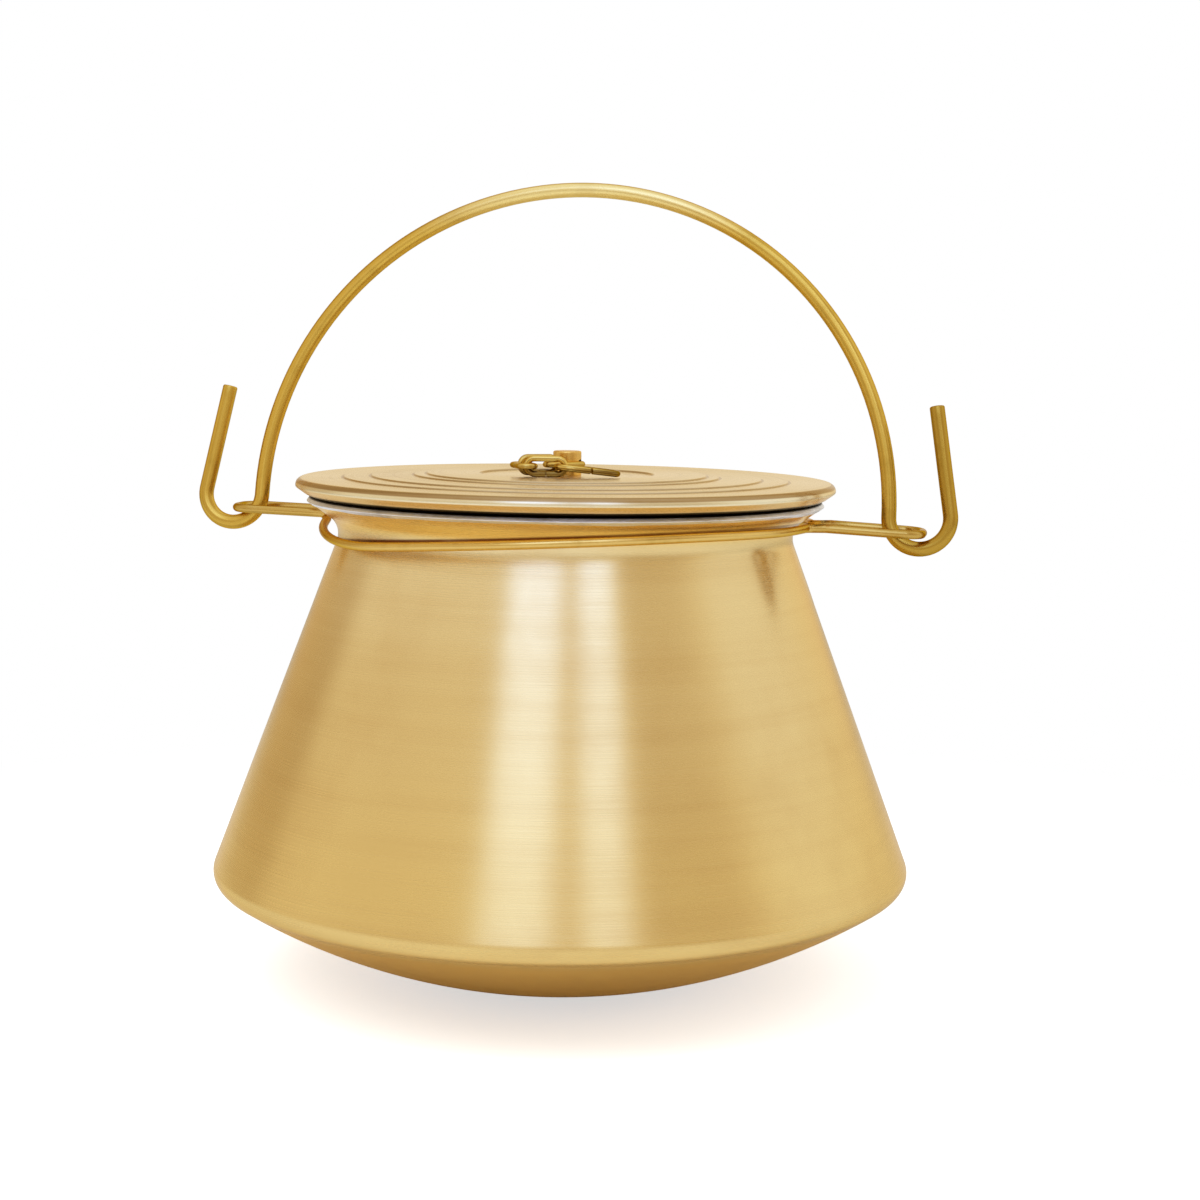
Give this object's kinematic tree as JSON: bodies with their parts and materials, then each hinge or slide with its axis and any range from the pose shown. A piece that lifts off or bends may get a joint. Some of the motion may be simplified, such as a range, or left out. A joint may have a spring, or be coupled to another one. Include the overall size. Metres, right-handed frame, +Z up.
{
  "type": "lidded pot with bail handle",
  "caption": "Conical round-bottomed brass cooking pot with a flared tinned rim, a stepped loose lid with a peg and short chain, and a hooked rod bail hung in the eyes of a neck wire.",
  "frame": {"origin": "middle of the flat resting face under the pot", "axes": "+Z up along the pot's axis; the eyes and the bail's hooked ends lie on X; the front of the pot faces -Y"},
  "size_m": [0.2898, 0.2594, 0.2973],
  "materials": {
    "pot_brass": "satin, spun, with fine lines round the body",
    "tin": "hot-wiped tin, dull grey",
    "wire_brass": "drawn wire, bright",
    "rod_brass": "drawn rod, darkened with handling",
    "lid_brass": "satin, spun",
    "knob_brass": "turned, bright",
    "chain_brass": "bent wire, dulled"
  },
  "bodies": {
    "pot": {"pot_body": "pot_brass", "tin_lining": "tin", "neck_wire": "wire_brass"},
    "bail": {"bail_handle": "rod_brass"},
    "lid": {"lid_plate": "lid_brass", "lid_knob": "knob_brass", "knob_washer": "knob_brass"},
    "yoke": {"chain_link_1": "chain_brass"},
    "link_2": {"chain_link_2": "chain_brass"},
    "link_3": {"chain_link_3": "chain_brass"},
    "link_4": {"chain_link_4": "chain_brass"},
    "split": {"split_link": "chain_brass"}
  },
  "joints": [
    {"name": "bail_swing", "type": "hinge", "parent": "pot", "child": "bail", "pos_m": [0, 0, 0.16835], "axis": [1, 0, -0.0078], "range_deg": [-35, 55]},
    {"name": "lid_lift", "type": "slide", "parent": "pot", "child": "lid", "axis": [0, 0, 1], "range_m": [0, 0.04]},
    {"name": "yoke_lift", "type": "hinge", "parent": "lid", "child": "yoke", "pos_m": [0, 0, 0.1924], "axis": [-0.9848, 0.1736, 0], "range_deg": [0, 40]},
    {"name": "link_2_lift", "type": "hinge", "parent": "yoke", "child": "link_2", "pos_m": [-0.00178, -0.01009, 0.1924], "axis": [-0.9397, -0.342, 0], "range_deg": [0, 20]},
    {"name": "link_3_lift", "type": "hinge", "parent": "link_2", "child": "link_3", "pos_m": [-0.01135, -0.01562, 0.1924], "axis": [-0.866, -0.5, 0], "range_deg": [0, 20]},
    {"name": "link_4_lift", "type": "hinge", "parent": "link_3", "child": "link_4", "pos_m": [-0.00682, -0.0237, 0.1924], "axis": [0.1736, -0.9848, 0], "range_deg": [0, 35]},
    {"name": "split_link_lift", "type": "hinge", "parent": "link_4", "child": "split", "pos_m": [0.0013, -0.02226, 0.1924], "axis": [0.4695, -0.8829, 0], "range_deg": [0, 50]}
  ]
}
